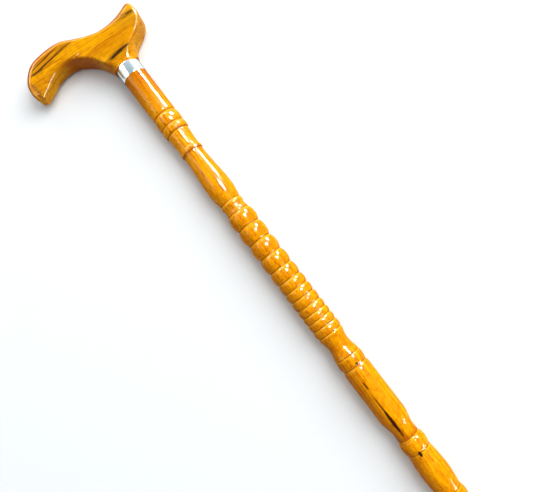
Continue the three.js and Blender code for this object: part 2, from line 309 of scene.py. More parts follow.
# Moulded rubber, a little dusty: dull black that goes grey where it is rubbed
rubberLook = {
    "dustScale": 90.0, "dustDetail": 6.0, "dustRoughness": 0.65,
    "dustStops": [(0.35, "161616"), (0.7, "2B2A29")],
    "gritScale": 1800.0, "gritDetail": 2.0, "gritStrength": 0.2, "gritDepth": 0.0002,
    "roughness": 0.72, "specular": 0.15,
}


def mouldedRubber(name, look):
    material, tree, shader = newMaterial(name)
    coordinates = addNode(tree, "ShaderNodeTexCoord").outputs["Object"]
    dust = addNode(tree, "ShaderNodeTexNoise", inputs={
        "Vector": coordinates,
        "Scale": look["dustScale"],
        "Detail": look["dustDetail"],
        "Roughness": look["dustRoughness"],
    }).outputs["Fac"]
    grit = addNode(tree, "ShaderNodeTexNoise", inputs={
        "Vector": coordinates,
        "Scale": look["gritScale"],
        "Detail": look["gritDetail"],
    }).outputs["Fac"]
    skin = addNode(tree, "ShaderNodeBump", inputs={
        "Strength": look["gritStrength"],
        "Distance": look["gritDepth"],
        "Height": grit,
    }).outputs["Normal"]
    setInputs(tree, shader, {
        "Base Color": addRamp(tree, dust, look["dustStops"]),
        "Roughness": look["roughness"],
        "Specular IOR Level": look["specular"],
        "Normal": skin,
    })
    return material


# Cold-drawn steel: grey with drawing lines along its length
steelLook = {"lines": (40, 2500, 2500), "lineDetail": 2.0, "smoothest": 0.3, "roughest": 0.5}


def drawnSteel(name, colour, look):
    material, tree, shader = newMaterial(name)
    coordinates = addNode(tree, "ShaderNodeTexCoord").outputs["Object"]
    lines = addNode(tree, "ShaderNodeMapping", inputs={"Vector": coordinates, "Scale": look["lines"]})
    noise = addNode(tree, "ShaderNodeTexNoise", inputs={
        "Vector": lines.outputs["Vector"],
        "Scale": 1.0,
        "Detail": look["lineDetail"],
    }).outputs["Fac"]
    roughness = addNode(tree, "ShaderNodeMapRange", inputs={
        "Value": noise,
        "To Min": look["smoothest"],
        "To Max": look["roughest"],
    }).outputs["Result"]
    setInputs(tree, shader, {
        "Base Color": linearColour(colour),
        "Metallic": 1.0,
        "Roughness": roughness,
    })
    return material


# A mark's centre is (station, out, up), its turn is from the shaft's way towards the nose, and its size
# is length, width and depth
shaftLook = {
    "grainTurn": 0.0,
    "bandLength": 140.0, "bandWidth": 4.0,
    "bandStops": [(0.3, "DE8E00"), (0.5, "F3A400"), (0.7, "FFB200")],
    "fibreLength": 60.0, "fibreWidth": 1.2,
    "fibreStops": [(0.34, "C67C34"), (0.54, "FFFFFF")], "fibreShare": 0.7,
    "poreLength": 16.0, "poreWidth": 0.5,
    "poreStops": [(0.3, "AE6A2C"), (0.42, "FFFFFF")], "poreShare": 0.5,
    "blotchSize": 3.2, "blotchStops": [(0.48, "FFFFFF"), (0.68, "CC7C34")], "blotchShare": 0.4,
    "wobbleLength": 12.0, "wobbleWidth": 3.0, "wobble": 1.2,
    # The lip colour is a painted highlight; the darkening colour is partly stain and partly painted shade
    "stainAndShadeShare": 0.75, "stainAndShadeColour": "963A00", "lipHighlightShare": 0.6, "lipHighlightColour": "FFC421",
    "coat": 0.25, "coatRoughness": 0.12, "coatIor": 1.3,
    "rippleSize": 6.0, "rippleStrength": 0.12, "rippleDepth": 0.05,
}
shaftMarks = [
    {"centre": (366.8, 2.2, 13.2), "turn": 0, "size": (3.0, 3.2, 9), "core": 0.3,
     "strength": 1.0, "lines": 1.0, "colour": "3A1500"},
    {"centre": (387.4, -3.6, 13.0), "turn": 3, "size": (10, 2.4, 9), "core": 0.3,
     "strength": 0.95, "lines": 0.9, "colour": "4A1600"},
    {"centre": (412.0, -3.7, 13.0), "turn": 2, "size": (34, 2.3, 9), "core": 0.25,
     "strength": 0.9, "lines": 0.9, "colour": "5A1C00"},
    {"centre": (433.0, -3.8, 12.8), "turn": 0, "size": (42, 4.4, 9), "core": 0.5,
     "strength": 1.0, "lines": 1.0, "colour": "401400"},
    {"centre": (434.0, -6.4, 12.6), "turn": 0, "size": (12, 1.8, 9), "core": 0.3,
     "strength": 0.6, "lines": 1.0, "colour": "8A4A10"},
    {"centre": (443.3, -3.2, 13.0), "turn": 2, "size": (8, 1.4, 9), "core": 0.2,
     "strength": 0.8, "lines": 0.8, "colour": "5A2000"},
    {"centre": (464.6, -1.4, 13.3), "turn": 0, "size": (7.0, 5.2, 9), "core": 0.45,
     "strength": 1.0, "lines": 1.0, "colour": "301A0A"},
]
handleLook = {
    "grainTurn": -86.0,
    "bandLength": 90.0, "bandWidth": 6.0,
    "bandStops": [(0.3, "C27A00"), (0.5, "D99600"), (0.68, "E4A300")],
    "fibreLength": 45.0, "fibreWidth": 1.3,
    "fibreStops": [(0.34, "BE7C34"), (0.5, "FFFFFF")], "fibreShare": 0.65,
    "poreLength": 14.0, "poreWidth": 0.55,
    "poreStops": [(0.3, "AE6A2C"), (0.42, "FFFFFF")], "poreShare": 0.5,
    "blotchSize": 5.0, "blotchStops": [(0.45, "FFFFFF"), (0.7, "CC8440")], "blotchShare": 0.3,
    "wobbleLength": 25.0, "wobbleWidth": 6.0, "wobble": 2.0,
    # The darkening colour paints shade on the arch and the far edge and darkens the rim along the collar
    "stainAndShadeShare": 0.85, "stainAndShadeColour": "963200", "lipHighlightShare": 0.6, "lipHighlightColour": "FFC421",
    "coat": 0.3, "coatRoughness": 0.1, "coatIor": 1.3,
    "rippleSize": 12.0, "rippleStrength": 0.1, "rippleDepth": 0.05,
}
handleMarks = [
    {"centre": (-49.4, -54.0, 0), "turn": 93, "size": (64, 9.5, 90), "core": 0.1,
     "strength": 0.6, "lines": 0.7, "colour": "A8680C"},
    {"centre": (-52.8, -60.3, 0), "turn": 96, "size": (46, 2.1, 90), "core": 0.4,
     "strength": 0.95, "lines": 1.0, "colour": "54300A"},
    {"centre": (-48.2, -56.0, 0), "turn": 93, "size": (62, 2.5, 90), "core": 0.4,
     "strength": 0.95, "lines": 1.0, "colour": "44260A"},
    {"centre": (-49.0, -42.0, 0), "turn": 91, "size": (28, 5.6, 90), "core": 0.3,
     "strength": 0.75, "lines": 0.7, "colour": "74460A"},
    {"centre": (-46.5, -75.0, 0), "turn": 88, "size": (18, 3.2, 90), "core": 0.4,
     "strength": 0.85, "lines": 1.0, "colour": "4A2C12"},
    {"centre": (-44.9, -64.0, 0), "turn": 91, "size": (38, 1.8, 90), "core": 0.3,
     "strength": 0.65, "lines": 0.9, "colour": "8E5A0A"},
    {"centre": (-28.2, -16.3, 0), "turn": 93, "size": (22, 1.2, 90), "core": 0.3,
     "strength": 0.85, "lines": 1.0, "colour": "8A4C04"},
    {"centre": (-27.8, 1.3, 0), "turn": 84, "size": (26, 1.1, 90), "core": 0.3,
     "strength": 0.75, "lines": 1.0, "colour": "945604"},
    {"centre": (-10.8, 0.6, 9), "turn": 93, "size": (37, 9.0, 24), "core": 0.4,
     "strength": 0.85, "lines": 0.8, "colour": "7A4C10"},
    {"centre": (-10.2, -0.6, 9), "turn": 96, "size": (25, 4.4, 24), "core": 0.45,
     "strength": 0.95, "lines": 0.9, "colour": "281606"},
    {"centre": (-11.2, 7.6, 9), "turn": 91, "size": (20, 3.6, 24), "core": 0.45,
     "strength": 0.95, "lines": 0.9, "colour": "301C08"},
    {"centre": (-31.0, 26.5, 0), "turn": 82, "size": (34, 18.0, 90), "core": 0.2,
     "strength": 0.45, "lines": 0.6, "colour": "B07A10"},
    {"centre": (-36.6, 31.0, 0), "turn": 84, "size": (22, 8.0, 90), "core": 0.3,
     "strength": 0.75, "lines": 0.7, "colour": "80520E"},
    {"centre": (-36.7, 33.6, 0), "turn": 84, "size": (11, 3.2, 90), "core": 0.4,
     "strength": 0.9, "lines": 1.0, "colour": "463008"},
    {"centre": (-36.8, 21.0, 0), "turn": 80, "size": (30, 1.7, 90), "core": 0.3,
     "strength": 0.8, "lines": 1.0, "colour": "764A08"},
    {"centre": (-39.6, 21.7, 0), "turn": 90, "size": (18, 2.2, 90), "core": 0.3,
     "strength": 0.65, "lines": 0.9, "colour": "80500C"},
    {"centre": (-33.9, -85.9, 9), "turn": 8, "size": (18, 5.0, 16), "core": 0.3,
     "strength": 0.85, "lines": 0.5, "colour": "7A4830"},
    {"centre": (-24.6, -86.2, 9), "turn": 30, "size": (12, 3.4, 12), "core": 0.4,
     "strength": 0.9, "lines": 0.8, "colour": "702808"},
    {"centre": (-32.8, -73.2, 0), "turn": 79, "size": (13, 2.4, 90), "core": 0.3,
     "strength": 0.75, "lines": 0.5, "colour": "9A5C0A"},
]
shaftWood = lacqueredWood("beech_turned_stained_lacquered", shaftLook, shaftMarks)
handleWood = lacqueredWood("beech_carved_stained_lacquered", handleLook, handleMarks)
chrome = polishedChrome("brass_tube_chrome_polished", chromeLook)
rubber = mouldedRubber("rubber_black_moulded", rubberLook)
studSteel = drawnSteel("steel_cold_drawn", "9A9DA0", steelLook)
washerSteel = drawnSteel("steel_zinc_plated_stamped", "B4B8BA", steelLook)
print("materials made")


# Turned pieces: a profile of (radius, station) points, spun about the shaft's axis

def straight(t):
    return t


def ease(t):
    return (1 - math.cos(math.pi * t)) / 2


def leaveFlat(t):
    return 1 - math.cos(math.pi * t / 2)


def arriveFlat(t):
    return math.sin(math.pi * t / 2)


def run(profile, length, endRadius, form=straight):
    startRadius, startStation = profile[-1]
    steps = 1 if form is straight else max(turning["runSteps"], round(length / turning["pointSpacing"]))
    for i in range(1, steps + 1):
        t = i / steps
        radius = startRadius + (endRadius - startRadius) * form(t)
        profile.append((radius, startStation + length * t))


def bead(profile, length, beadRadius, endRadius):
    startRadius, startStation = profile[-1]
    steps = max(turning["beadSteps"], round(length / turning["pointSpacing"]))
    for i in range(1, steps + 1):
        t = ease(i / steps)
        groove = startRadius + (endRadius - startRadius) * t
        swell = max(0.0, 1 - (2 * t - 1) ** 2) ** turning["beadFullness"]
        profile.append((groove + (beadRadius - groove) * swell, startStation + length * t))


def spin(profile, faces):
    bm = bmesh.new()
    ring = [bm.verts.new(onStick(station, 0, radius)) for radius, station in profile]
    edges = [bm.edges.new(pair) for pair in zip(ring, ring[1:])]
    bmesh.ops.spin(bm, geom=ring + edges, cent=onStick(0, 0), axis=(1, 0, 0), dvec=(0, 0, 0),
                   angle=2 * math.pi, steps=faces, use_merge=True, use_duplicate=False)
    bmesh.ops.remove_doubles(bm, verts=bm.verts, dist=1e-7)
    bmesh.ops.dissolve_degenerate(bm, dist=1e-7, edges=bm.edges)
    bmesh.ops.recalc_face_normals(bm, faces=bm.faces)
    return bm


def finishMesh(bm, name, sharpAngle, paintedLightAndStainAt=None):
    smoothShading(bm, sharpAngle)
    # The UV layer carries a painted highlight and darkening that is partly stain and partly painted shade
    layer = bm.loops.layers.uv.new("stain")
    for face in bm.faces:
        for loop in face.loops:
            place = (loop.vert.co - onStick(0, 0)) / millimetre
            loop[layer].uv = paintedLightAndStainAt(place, loop.vert.normal) if paintedLightAndStainAt else (0, 0)
    mesh = bpy.data.meshes.new(name)
    bm.to_mesh(mesh)
    bm.free()
    return mesh


turning = {
    "faces": 128, "pointSpacing": 0.8, "runSteps": 4, "beadSteps": 12, "tipSteps": 20, "beadFullness": 0.7,
}
shaftShape = {
    "length": 850.0, "spigotRadius": 11.8, "boreRadius": 5.3, "boreDepth": 36.3, "collarLength": 14.0,
    "topRadius": 12.7, "blankRadius": 13.6, "waistRadius": 10.75, "ringRadius": 11.6,
    "bigRingRadius": 12.9, "collarBeadRadius": 13.25, "grooveRadius": 12.0, "vaseRadius": 13.1,
    "lipRadius": 12.95, "legRadius": 12.4, "tipRadius": 8.5, "tipChamfer": 1.0, "step": 0.3,
    "beads": [16.6, 17.8, 17, 15.9, 13.8, 10.8, 9.9, 9.8, 8.4, 7.4, 8.2, 8.4],
    "beadGrooveShare": 0.16,
    "plainTop": 47.3, "topFoot": 3.2, "firstBead": 13.2, "secondBead": 8.3,
    "taper": 18.4, "taperFlare": 3.6, "taperRing": 2.6,
    "vaseNeck": 3.5, "vase": 42, "vaseFoot": 17, "smallRing": 5.5, "flareNeck": 2.5, "flare": 3.3,
    "flareLip": 1.6,
    "coveTopLip": 2.1, "coveFall": 11.5, "coveRise": 11.9, "coveLowLip": 1.2, "barrelBead": 11.3,
    "barrelShoulder": 5.1, "barrel": 50.5, "barrelFoot": 17.5,
    "ringGap": 6.5, "ringFlare": 3.7, "ringRise": 4.8, "ringFall": 7,
    "spindleSwell": 25, "spindleFall": 19.7, "legSwell": 36,
}


def shaftProfile(shape):
    waist, ring, step = shape["waistRadius"], shape["ringRadius"], shape["step"]
    blank, lip, leg = shape["blankRadius"], shape["lipRadius"], shape["legRadius"]
    profile = [
        (0, shape["boreDepth"]),
        (shape["boreRadius"], shape["boreDepth"]),
        (shape["boreRadius"], 0),
        (shape["spigotRadius"], 0),
        (shape["spigotRadius"], shape["collarLength"]),
        (shape["topRadius"] - step, shape["collarLength"]),
        (shape["topRadius"], shape["collarLength"] + step),
    ]
    grooves = []

    # Plain top with two beads under it
    run(profile, shape["plainTop"], shape["topRadius"])
    run(profile, shape["topFoot"], shape["grooveRadius"] - step, leaveFlat)
    grooves.append(profile[-1][1])
    bead(profile, shape["firstBead"], shape["collarBeadRadius"], shape["grooveRadius"])
    grooves.append(profile[-1][1])
    bead(profile, shape["secondBead"], shape["collarBeadRadius"], shape["topRadius"] - step)
    run(profile, step, ring)
    grooves.append(profile[-1][1])

    # Short taper to a narrow ring
    run(profile, shape["taper"], waist, ease)
    run(profile, shape["taperFlare"], ring, leaveFlat)
    run(profile, shape["taperRing"], ring)
    run(profile, step, waist)
    grooves.append(profile[-1][1])

    # Long vase, a small ring and a flared lip
    run(profile, shape["vaseNeck"], waist)
    run(profile, shape["vase"], shape["vaseRadius"], ease)
    run(profile, shape["vaseFoot"], waist, leaveFlat)
    grooves.append(profile[-1][1])
    bead(profile, shape["smallRing"], ring, waist)
    run(profile, shape["flareNeck"], waist)
    run(profile, shape["flare"], ring, leaveFlat)
    run(profile, shape["flareLip"], ring - step)
    grooves.append(profile[-1][1])

    # Graduated beads: the shorter a bead, the shallower the groove below it
    beads = shape["beads"]
    for length, following in zip(beads, beads[1:] + beads[-1:]):
        bead(profile, length, blank, blank - shape["beadGrooveShare"] * (length + following) / 2)
        grooves.append(profile[-1][1])

    # Deep cove between two lips, a bead, then the barrel
    run(profile, shape["coveTopLip"], lip, arriveFlat)
    run(profile, shape["coveFall"], waist, arriveFlat)
    run(profile, shape["coveRise"], lip, leaveFlat)
    run(profile, shape["coveLowLip"], lip - step)
    grooves.append(profile[-1][1])
    bead(profile, shape["barrelBead"], blank, shape["grooveRadius"])
    grooves.append(profile[-1][1])
    run(profile, shape["barrelShoulder"], blank, arriveFlat)
    run(profile, shape["barrel"], blank)
    run(profile, shape["barrelFoot"], waist, ease)

    # Two like rings with a spindle between them
    run(profile, shape["ringGap"], waist)
    grooves.append(profile[-1][1])
    run(profile, shape["ringFlare"], leg, leaveFlat)
    run(profile, shape["ringRise"], shape["bigRingRadius"], ease)
    run(profile, shape["ringFall"], ring, leaveFlat)
    grooves.append(profile[-1][1])
    run(profile, shape["spindleSwell"], blank, arriveFlat)
    run(profile, shape["spindleFall"], ring, leaveFlat)
    grooves.append(profile[-1][1])
    run(profile, shape["ringFall"], shape["bigRingRadius"], arriveFlat)
    run(profile, shape["ringRise"], leg, ease)
    run(profile, shape["ringFlare"], waist, arriveFlat)
    grooves.append(profile[-1][1])

    # Leg: a soft swell, then one long taper to the tip
    run(profile, shape["ringGap"], waist)
    run(profile, shape["legSwell"], leg, ease)
    taper = turning["tipSteps"]
    startRadius, startStation = profile[-1]
    for i in range(1, taper + 1):
        t = i / taper * (1 - shape["tipChamfer"] / (shape["length"] - startStation))
        profile.append((startRadius + (shape["tipRadius"] - startRadius) * t,
                        startStation + (shape["length"] - startStation) * t))
    profile.append((shape["tipRadius"] - shape["tipChamfer"], shape["length"]))
    profile.append((0, shape["length"]))
    return profile, grooves


profile, grooves = shaftProfile(shaftShape)
grooves.append(shaftShape["collarLength"] + 0.6)
# Widths in millimetres of the darkening above and below a groove and of the painted highlight on the lip
# past it
grooveBandWidth = {"above": 1.6, "below": 0.3, "lipHighlight": 2.6}
# Painted shade on the side turned from the key light, growing from station "from" over "over" millimetres
paintedSideShade = {"share": 0.85, "from": 30.0, "over": 330.0}


def clamped(value):
    return max(0.0, min(1.0, value))


# Beside each groove the wood is darker, partly stain held in the groove and partly painted shade, and
# further down painted shade darkens the side that faces away from the nose and the key light. Just past
# each groove a painted highlight makes the lip paler
def shaftStainAndPaintedLight(place, normal):
    # Painted shade on the side turned away from the nose and the key light
    side = clamped(-normal.y) * clamped(0.5 + normal.z)
    stain = paintedSideShade["share"] * side * clamped((place.x - paintedSideShade["from"]) / paintedSideShade["over"])
    lipHighlight = 0.0
    # Darkening beside each groove, partly stain and partly painted shade, and a painted highlight on the
    # lip just past it
    for groove in grooves:
        past = place.x - groove
        width = grooveBandWidth["below"] if past > 0 else grooveBandWidth["above"]
        stain = max(stain, 1 - abs(past) / width)
        if past > 0:
            lipHighlight = max(lipHighlight, 1 - past / grooveBandWidth["lipHighlight"])
    return lipHighlight, stain


shaftMesh = finishMesh(spin(profile, turning["faces"]), "shaft_turned", 38, shaftStainAndPaintedLight)
newPiece("shaft_turned", shaftMesh, "stick", "shaft", shaftWood)
print("shaft made,", len(shaftMesh.polygons), "faces")


# Collar: a tube with rolled edges
collarShape = {"radius": 13.0, "wall": 0.9, "length": 14.0, "edge": 0.45}


def collarBm(shape):
    outer, inner = shape["radius"], shape["radius"] - shape["wall"]
    bm = bmesh.new()
    corners = [(inner, 0), (outer, 0), (outer, shape["length"]), (inner, shape["length"])]
    ring = [bm.verts.new(onStick(station, 0, radius)) for radius, station in corners]
    edges = [bm.edges.new((ring[i], ring[(i + 1) % 4])) for i in range(4)]
    bmesh.ops.spin(bm, geom=ring + edges, cent=onStick(0, 0), axis=(1, 0, 0), dvec=(0, 0, 0),
                   angle=2 * math.pi, steps=turning["faces"], use_merge=True, use_duplicate=False)
    bmesh.ops.recalc_face_normals(bm, faces=bm.faces)
    centre = onStick(0, 0)
    rims = [edge for edge in bm.edges if edge.calc_face_angle(0) > 1
            and all(math.hypot(v.co.y - centre.y, v.co.z - centre.z) > (outer - 0.1) * millimetre
                    for v in edge.verts)]
    bmesh.ops.bevel(bm, geom=rims, offset=shape["edge"] * millimetre, offset_type="OFFSET",
                    segments=4, profile=0.5, affect="EDGES", material=-1)
    bmesh.ops.recalc_face_normals(bm, faces=bm.faces)
    return bm


collarMesh = finishMesh(collarBm(collarShape), "collar_polished", 38)
newPiece("collar_polished", collarMesh, "stick", "collar", chrome)
print("collar made")


# Handle: a grip lofted between its under side and its top, and a neck that grows out of the collar.
# An outline point is (out, up, extra): the extra number is the edge's rounding on the under side and
# half the thickness on the top side. An end draws in by "corner" in the outline, "face" in thickness.
# The thickness is a hair under the CAD's 28, so that the skin stays inside it
handleShape = {
    "thickness": 27.998, "neckEdge": 4.0, "neckNoseEdge": 4.5, "neckFoot": 11.0, "neckRadius": 13.2,
    "neckSpread": 0.35, "gripSections": 150, "neckSections": 60, "edgeSteps": 14,
    "voxel": 0.62, "smoothing": 6, "cutDepth": 3.0, "boreRadius": 5.3, "boreDepth": 28.3,
    "toeEnd": {"corner": 3.0, "face": 4.5}, "noseEnd": {"corner": 3.0, "face": 5.0},
    "under": [(-90.2, 22.5, 5.5), (-86.4, 21.7, 5.5), (-82.2, 24.1, 5.5), (-75, 27.6, 6), (-66.8, 32.4, 6),
              (-50, 35.6, 5.5), (-36, 33.2, 4.5), (-24, 30.6, 4), (0, 28.6, 4), (22, 27, 5),
              (33, 29, 6), (39, 32.5, 6), (41.4, 37, 6)],
    "top": [(-92.9, 27.6, 8.2), (-93.3, 33.8, 9.2), (-92.8, 39.9, 10.2), (-89.9, 47.2, 11),
            (-77.6, 58.7, 11.6), (-58, 61.4, 12.6), (-40, 58.8, 13.6), (-24, 50.5, 14), (-4, 42.6, 14),
            (14, 42.4, 14), (26.6, 45.9, 14), (33.8, 48.5, 14), (39.8, 49.5, 14)],
    "neckToe": [(-13.8, 0), (-15.4, 5.4), (-17.8, 11.6), (-20.9, 17.6), (-25.8, 23.8), (-33, 30),
                (-38.5, 33.6)],
    "neckNose": [(13.6, 0), (14.8, 3.6), (17.4, 9.2), (21.8, 14.2), (27.2, 17.5), (33.1, 21.1),
                 (37.7, 25.4), (40.3, 29.8), (41.3, 34), (41.5, 38), (41.2, 41)],
}


def curveThrough(points, t):
    count = len(points)
    place = min(t * (count - 1), count - 1 - 1e-9)
    i = int(place)
    vectors = [Vector((*p, 0, 0)[:3]) for p in points]
    before = vectors[i - 1] if i > 0 else vectors[0] * 2 - vectors[1]
    after = vectors[i + 2] if i + 2 < count else vectors[-1] * 2 - vectors[-2]
    a, b = vectors[i], vectors[i + 1]
    gaps = [max(1e-4, (q - p).length ** 0.5) for p, q in ((before, a), (a, b), (b, after))]
    startSlope = ((a - before) / gaps[0] - (b - before) / (gaps[0] + gaps[1]) + (b - a) / gaps[1]) * gaps[1]
    endSlope = ((b - a) / gaps[1] - (after - a) / (gaps[1] + gaps[2]) + (after - b) / gaps[2]) * gaps[1]
    u = place - i
    return (a * (2 * u ** 3 - 3 * u ** 2 + 1) + b * (3 * u ** 2 - 2 * u ** 3)
            + startSlope * (u ** 3 - 2 * u ** 2 + u) + endSlope * (u ** 3 - u ** 2))


def endInset(rounding, distance):
    left = rounding - min(rounding, distance)
    return rounding - math.sqrt(rounding ** 2 - left ** 2)


def section(low, high, halfThickness, lowRounding, highRounding, steps):
    across, centre = (high - low) / 2, (high + low) / 2
    half = across.length
    way = across.normalized()
    ring = []
    for quarter, (sideA, sideZ) in enumerate(((1, 1), (-1, 1), (-1, -1), (1, -1))):
        rounding = highRounding if sideA > 0 else lowRounding
        radius = min(rounding, half * 0.98, halfThickness * 0.98)
        for i in range(steps + 1):
            angle = (quarter + i / steps) * math.pi / 2
            a = sideA * (half - radius) + radius * math.cos(angle)
            z = sideZ * (halfThickness - radius) + radius * math.sin(angle)
            point = centre + way * a
            ring.append(onStick(-point.y, point.x, z))
    return ring


def loft(rings):
    bm = bmesh.new()
    loops = []
    for ring in rings:
        verts = [bm.verts.new(point) for point in ring]
        edges = [bm.edges.new((verts[i], verts[(i + 1) % len(verts)])) for i in range(len(verts))]
        loops.append((verts, edges))
    for (_, first), (_, second) in zip(loops, loops[1:]):
        bmesh.ops.bridge_loops(bm, edges=first + second)
    bmesh.ops.contextual_create(bm, geom=loops[0][0])
    bmesh.ops.contextual_create(bm, geom=loops[-1][0])
    bmesh.ops.recalc_face_normals(bm, faces=bm.faces)
    return bm


def gripRings(shape):
    sections, steps = shape["gripSections"], shape["edgeSteps"]
    places = [ease(k / sections) for k in range(sections + 1)]
    underPoints = [curveThrough(shape["under"], t) for t in places]
    fromToe = [0.0]
    for p, q in zip(underPoints, underPoints[1:]):
        fromToe.append(fromToe[-1] + (q - p).length)
    toeEnd, noseEnd = shape["toeEnd"], shape["noseEnd"]
    rings = []
    for t, under, distance in zip(places, underPoints, fromToe):
        top = curveThrough(shape["top"], t)
        fromNose = fromToe[-1] - distance
        corner = endInset(toeEnd["corner"], distance) + endInset(noseEnd["corner"], fromNose)
        face = endInset(toeEnd["face"], distance) + endInset(noseEnd["face"], fromNose)
        low, high = under.xy, top.xy
        way = (high - low).normalized()
        thick = min(top.z, shape["thickness"] / 2) - face
        rings.append(section(low + way * corner, high - way * corner, thick, under.z, under.z, steps))
    return rings


def neckRings(shape):
    radius, full = shape["neckRadius"], shape["thickness"] / 2
    steps, foot = shape["edgeSteps"], shape["neckFoot"]
    toeFoot, noseFoot = Vector(shape["neckToe"][0]), Vector(shape["neckNose"][0])
    buried = Vector((0, -shape["cutDepth"]))
    rings = [section(toeFoot + buried, noseFoot + buried, radius, foot, foot, steps)]
    for k in range(shape["neckSections"] + 1):
        t = k / shape["neckSections"]
        low, high = curveThrough(shape["neckToe"], t).xy, curveThrough(shape["neckNose"], t).xy
        flat = ease(min(1, t / shape["neckSpread"]))
        rings.append(section(low, high, radius + (full - radius) * flat,
                             foot + (shape["neckEdge"] - foot) * flat,
                             foot + (shape["neckNoseEdge"] - foot) * flat, steps))
    return rings


def plainObject(bm, name):
    mesh = bpy.data.meshes.new(name)
    bm.to_mesh(mesh)
    bm.free()
    thing = bpy.data.objects.new(name, mesh)
    bpy.context.scene.collection.objects.link(thing)
    return thing


def shapedMesh(thing):
    depsgraph = bpy.context.evaluated_depsgraph_get()
    return bpy.data.meshes.new_from_object(thing.evaluated_get(depsgraph))


def cylinderBm(radius, start, end, faces):
    return spin([(0, start), (radius, start), (radius, end), (0, end)], faces)


# Painted shade: the arch, which faces the ferrule, is darkened except near the toe, and so is the far edge
# round toe and top, both turned from the key light. The rim along the collar is darker too
handleDarkeningLook = {
    "archShare": 0.8, "archFrom": 0.2, "archOver": 0.5, "noseSide": 0.6, "noseFall": 2, "toeOut": 84,
    "toeOver": 24, "farShare": 0.7, "farUp": 0.85, "farOut": 0.6, "farFrom": 0.14, "farOver": 0.22,
    "rimShare": 0.6, "rimWidth": 0.9,
}


def handleDarkeningAt(place, normal):
    look = handleDarkeningLook
    # Painted shade on the arch wall, which faces the ferrule and turns from the key light
    arch = clamped((normal.x - look["archFrom"]) / look["archOver"])
    arch *= clamped(look["noseSide"] - look["noseFall"] * normal.y)
    arch *= clamped((place.y + look["toeOut"]) / look["toeOver"])
    # Painted shade on the far edge, turned away from the key light
    turnedAway = -look["farUp"] * normal.x - look["farOut"] * normal.y - look["farFrom"]
    far = clamped(turnedAway / look["farOver"])
    # A darker band 0.9 mm wide along the collar
    rim = clamped(1 + place.x / look["rimWidth"])
    return 0.0, max(look["archShare"] * arch, look["farShare"] * far, look["rimShare"] * rim)


def handleMesh(shape):
    grip = plainObject(loft(gripRings(shape)), "grip_rough")
    neck = plainObject(loft(neckRings(shape)), "neck_rough")
    join = grip.modifiers.new("neck", "BOOLEAN")
    join.operation, join.object, join.solver = "UNION", neck, "EXACT"
    skin = grip.modifiers.new("skin", "REMESH")
    skin.mode, skin.voxel_size, skin.use_smooth_shade = "VOXEL", shape["voxel"] * millimetre, True
    sanding = grip.modifiers.new("sanding", "SMOOTH")
    sanding.factor, sanding.iterations = 0.5, shape["smoothing"]
    rough = shapedMesh(grip)
    bpy.data.objects.remove(grip)
    bpy.data.objects.remove(neck)
    bm = bmesh.new()
    bm.from_mesh(rough)
    bpy.data.meshes.remove(rough)

    # The neck's foot is sawn off flat at the collar
    cut = bmesh.ops.bisect_plane(bm, geom=bm.verts[:] + bm.edges[:] + bm.faces[:], dist=1e-7,
                                 plane_co=onStick(0, 0), plane_no=(1, 0, 0), clear_outer=True)
    foot = [item for item in cut["geom_cut"] if isinstance(item, bmesh.types.BMEdge)]
    bmesh.ops.holes_fill(bm, edges=foot, sides=0)
    bmesh.ops.recalc_face_normals(bm, faces=bm.faces)
    body = plainObject(bm, "handle_body")
    drill = plainObject(cylinderBm(shape["boreRadius"], -shape["boreDepth"], 2, 48), "handle_drill")
    bore = body.modifiers.new("bore", "BOOLEAN")
    bore.operation, bore.object, bore.solver = "DIFFERENCE", drill, "EXACT"
    mesh = shapedMesh(body)
    bpy.data.objects.remove(body)
    bpy.data.objects.remove(drill)
    done = bmesh.new()
    done.from_mesh(mesh)
    bpy.data.meshes.remove(mesh)
    done.normal_update()
    return finishMesh(done, "handle_carved", 50, handleDarkeningAt)


carved = handleMesh(handleShape)
newPiece("handle_carved", carved, "stick", "handle", handleWood)
print("handle made,", len(carved.polygons), "faces")


# Ferrule: the CAD cup's size, with rounder edges and a softly flared skirt
ferruleShape = {
    "mouth": 818.0, "floor": 851.8, "foot": 859.3, "socket": 8.8, "mouthRadius": 9.27, "wall": 2.6,
    "rimProud": 0.9, "rim": 4.0, "skirt": 14.0, "footRadius": 14.0, "land": 2.6, "edge": 1.4,
    "treadDepth": 1.5, "treadWidth": 1.6, "treadRings": 2,
    "lipRounding": 0.7, "rimRounding": 0.5, "rootRounding": 0.35, "straightTo": 20,
}


def roundedCorner(profile, corner, towards, radius, steps=5):
    start = Vector(profile[-1])
    pivot, onward = Vector(corner), Vector(towards)
    first = pivot + (start - pivot).normalized() * radius
    last = pivot + (onward - pivot).normalized() * radius
    for i in range(steps + 1):
        t = i / steps
        point = first * (1 - t) ** 2 + pivot * 2 * t * (1 - t) + last * t ** 2
        profile.append((point.x, point.y))


